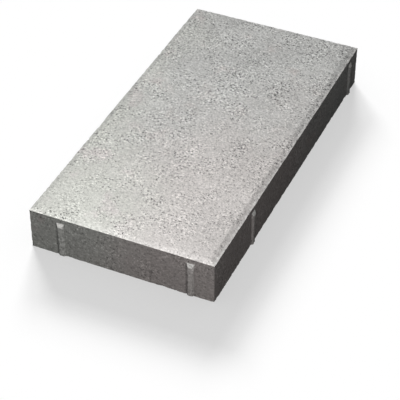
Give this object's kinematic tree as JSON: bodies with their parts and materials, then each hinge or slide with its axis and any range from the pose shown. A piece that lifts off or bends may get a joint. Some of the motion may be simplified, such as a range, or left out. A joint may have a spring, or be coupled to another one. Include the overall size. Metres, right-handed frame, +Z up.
{
  "type": "concrete paving slab",
  "caption": "Flat rectangular pressed-concrete slab with a bevelled walking face and spacer nibs on its sides that hold the laying joint open.",
  "frame": {"origin": "centre of the bed face, on the floor that the slab lies on", "axes": "+Z up, out of the walking face; +Y along the slab's length; +X along its width"},
  "size_m": [0.2524, 0.5024, 0.06],
  "materials": {
    "concrete": "matte, fine-grained, lightly pitted pressed concrete"
  },
  "bodies": {
    "root": {"slab": "concrete"}
  },
  "joints": []
}
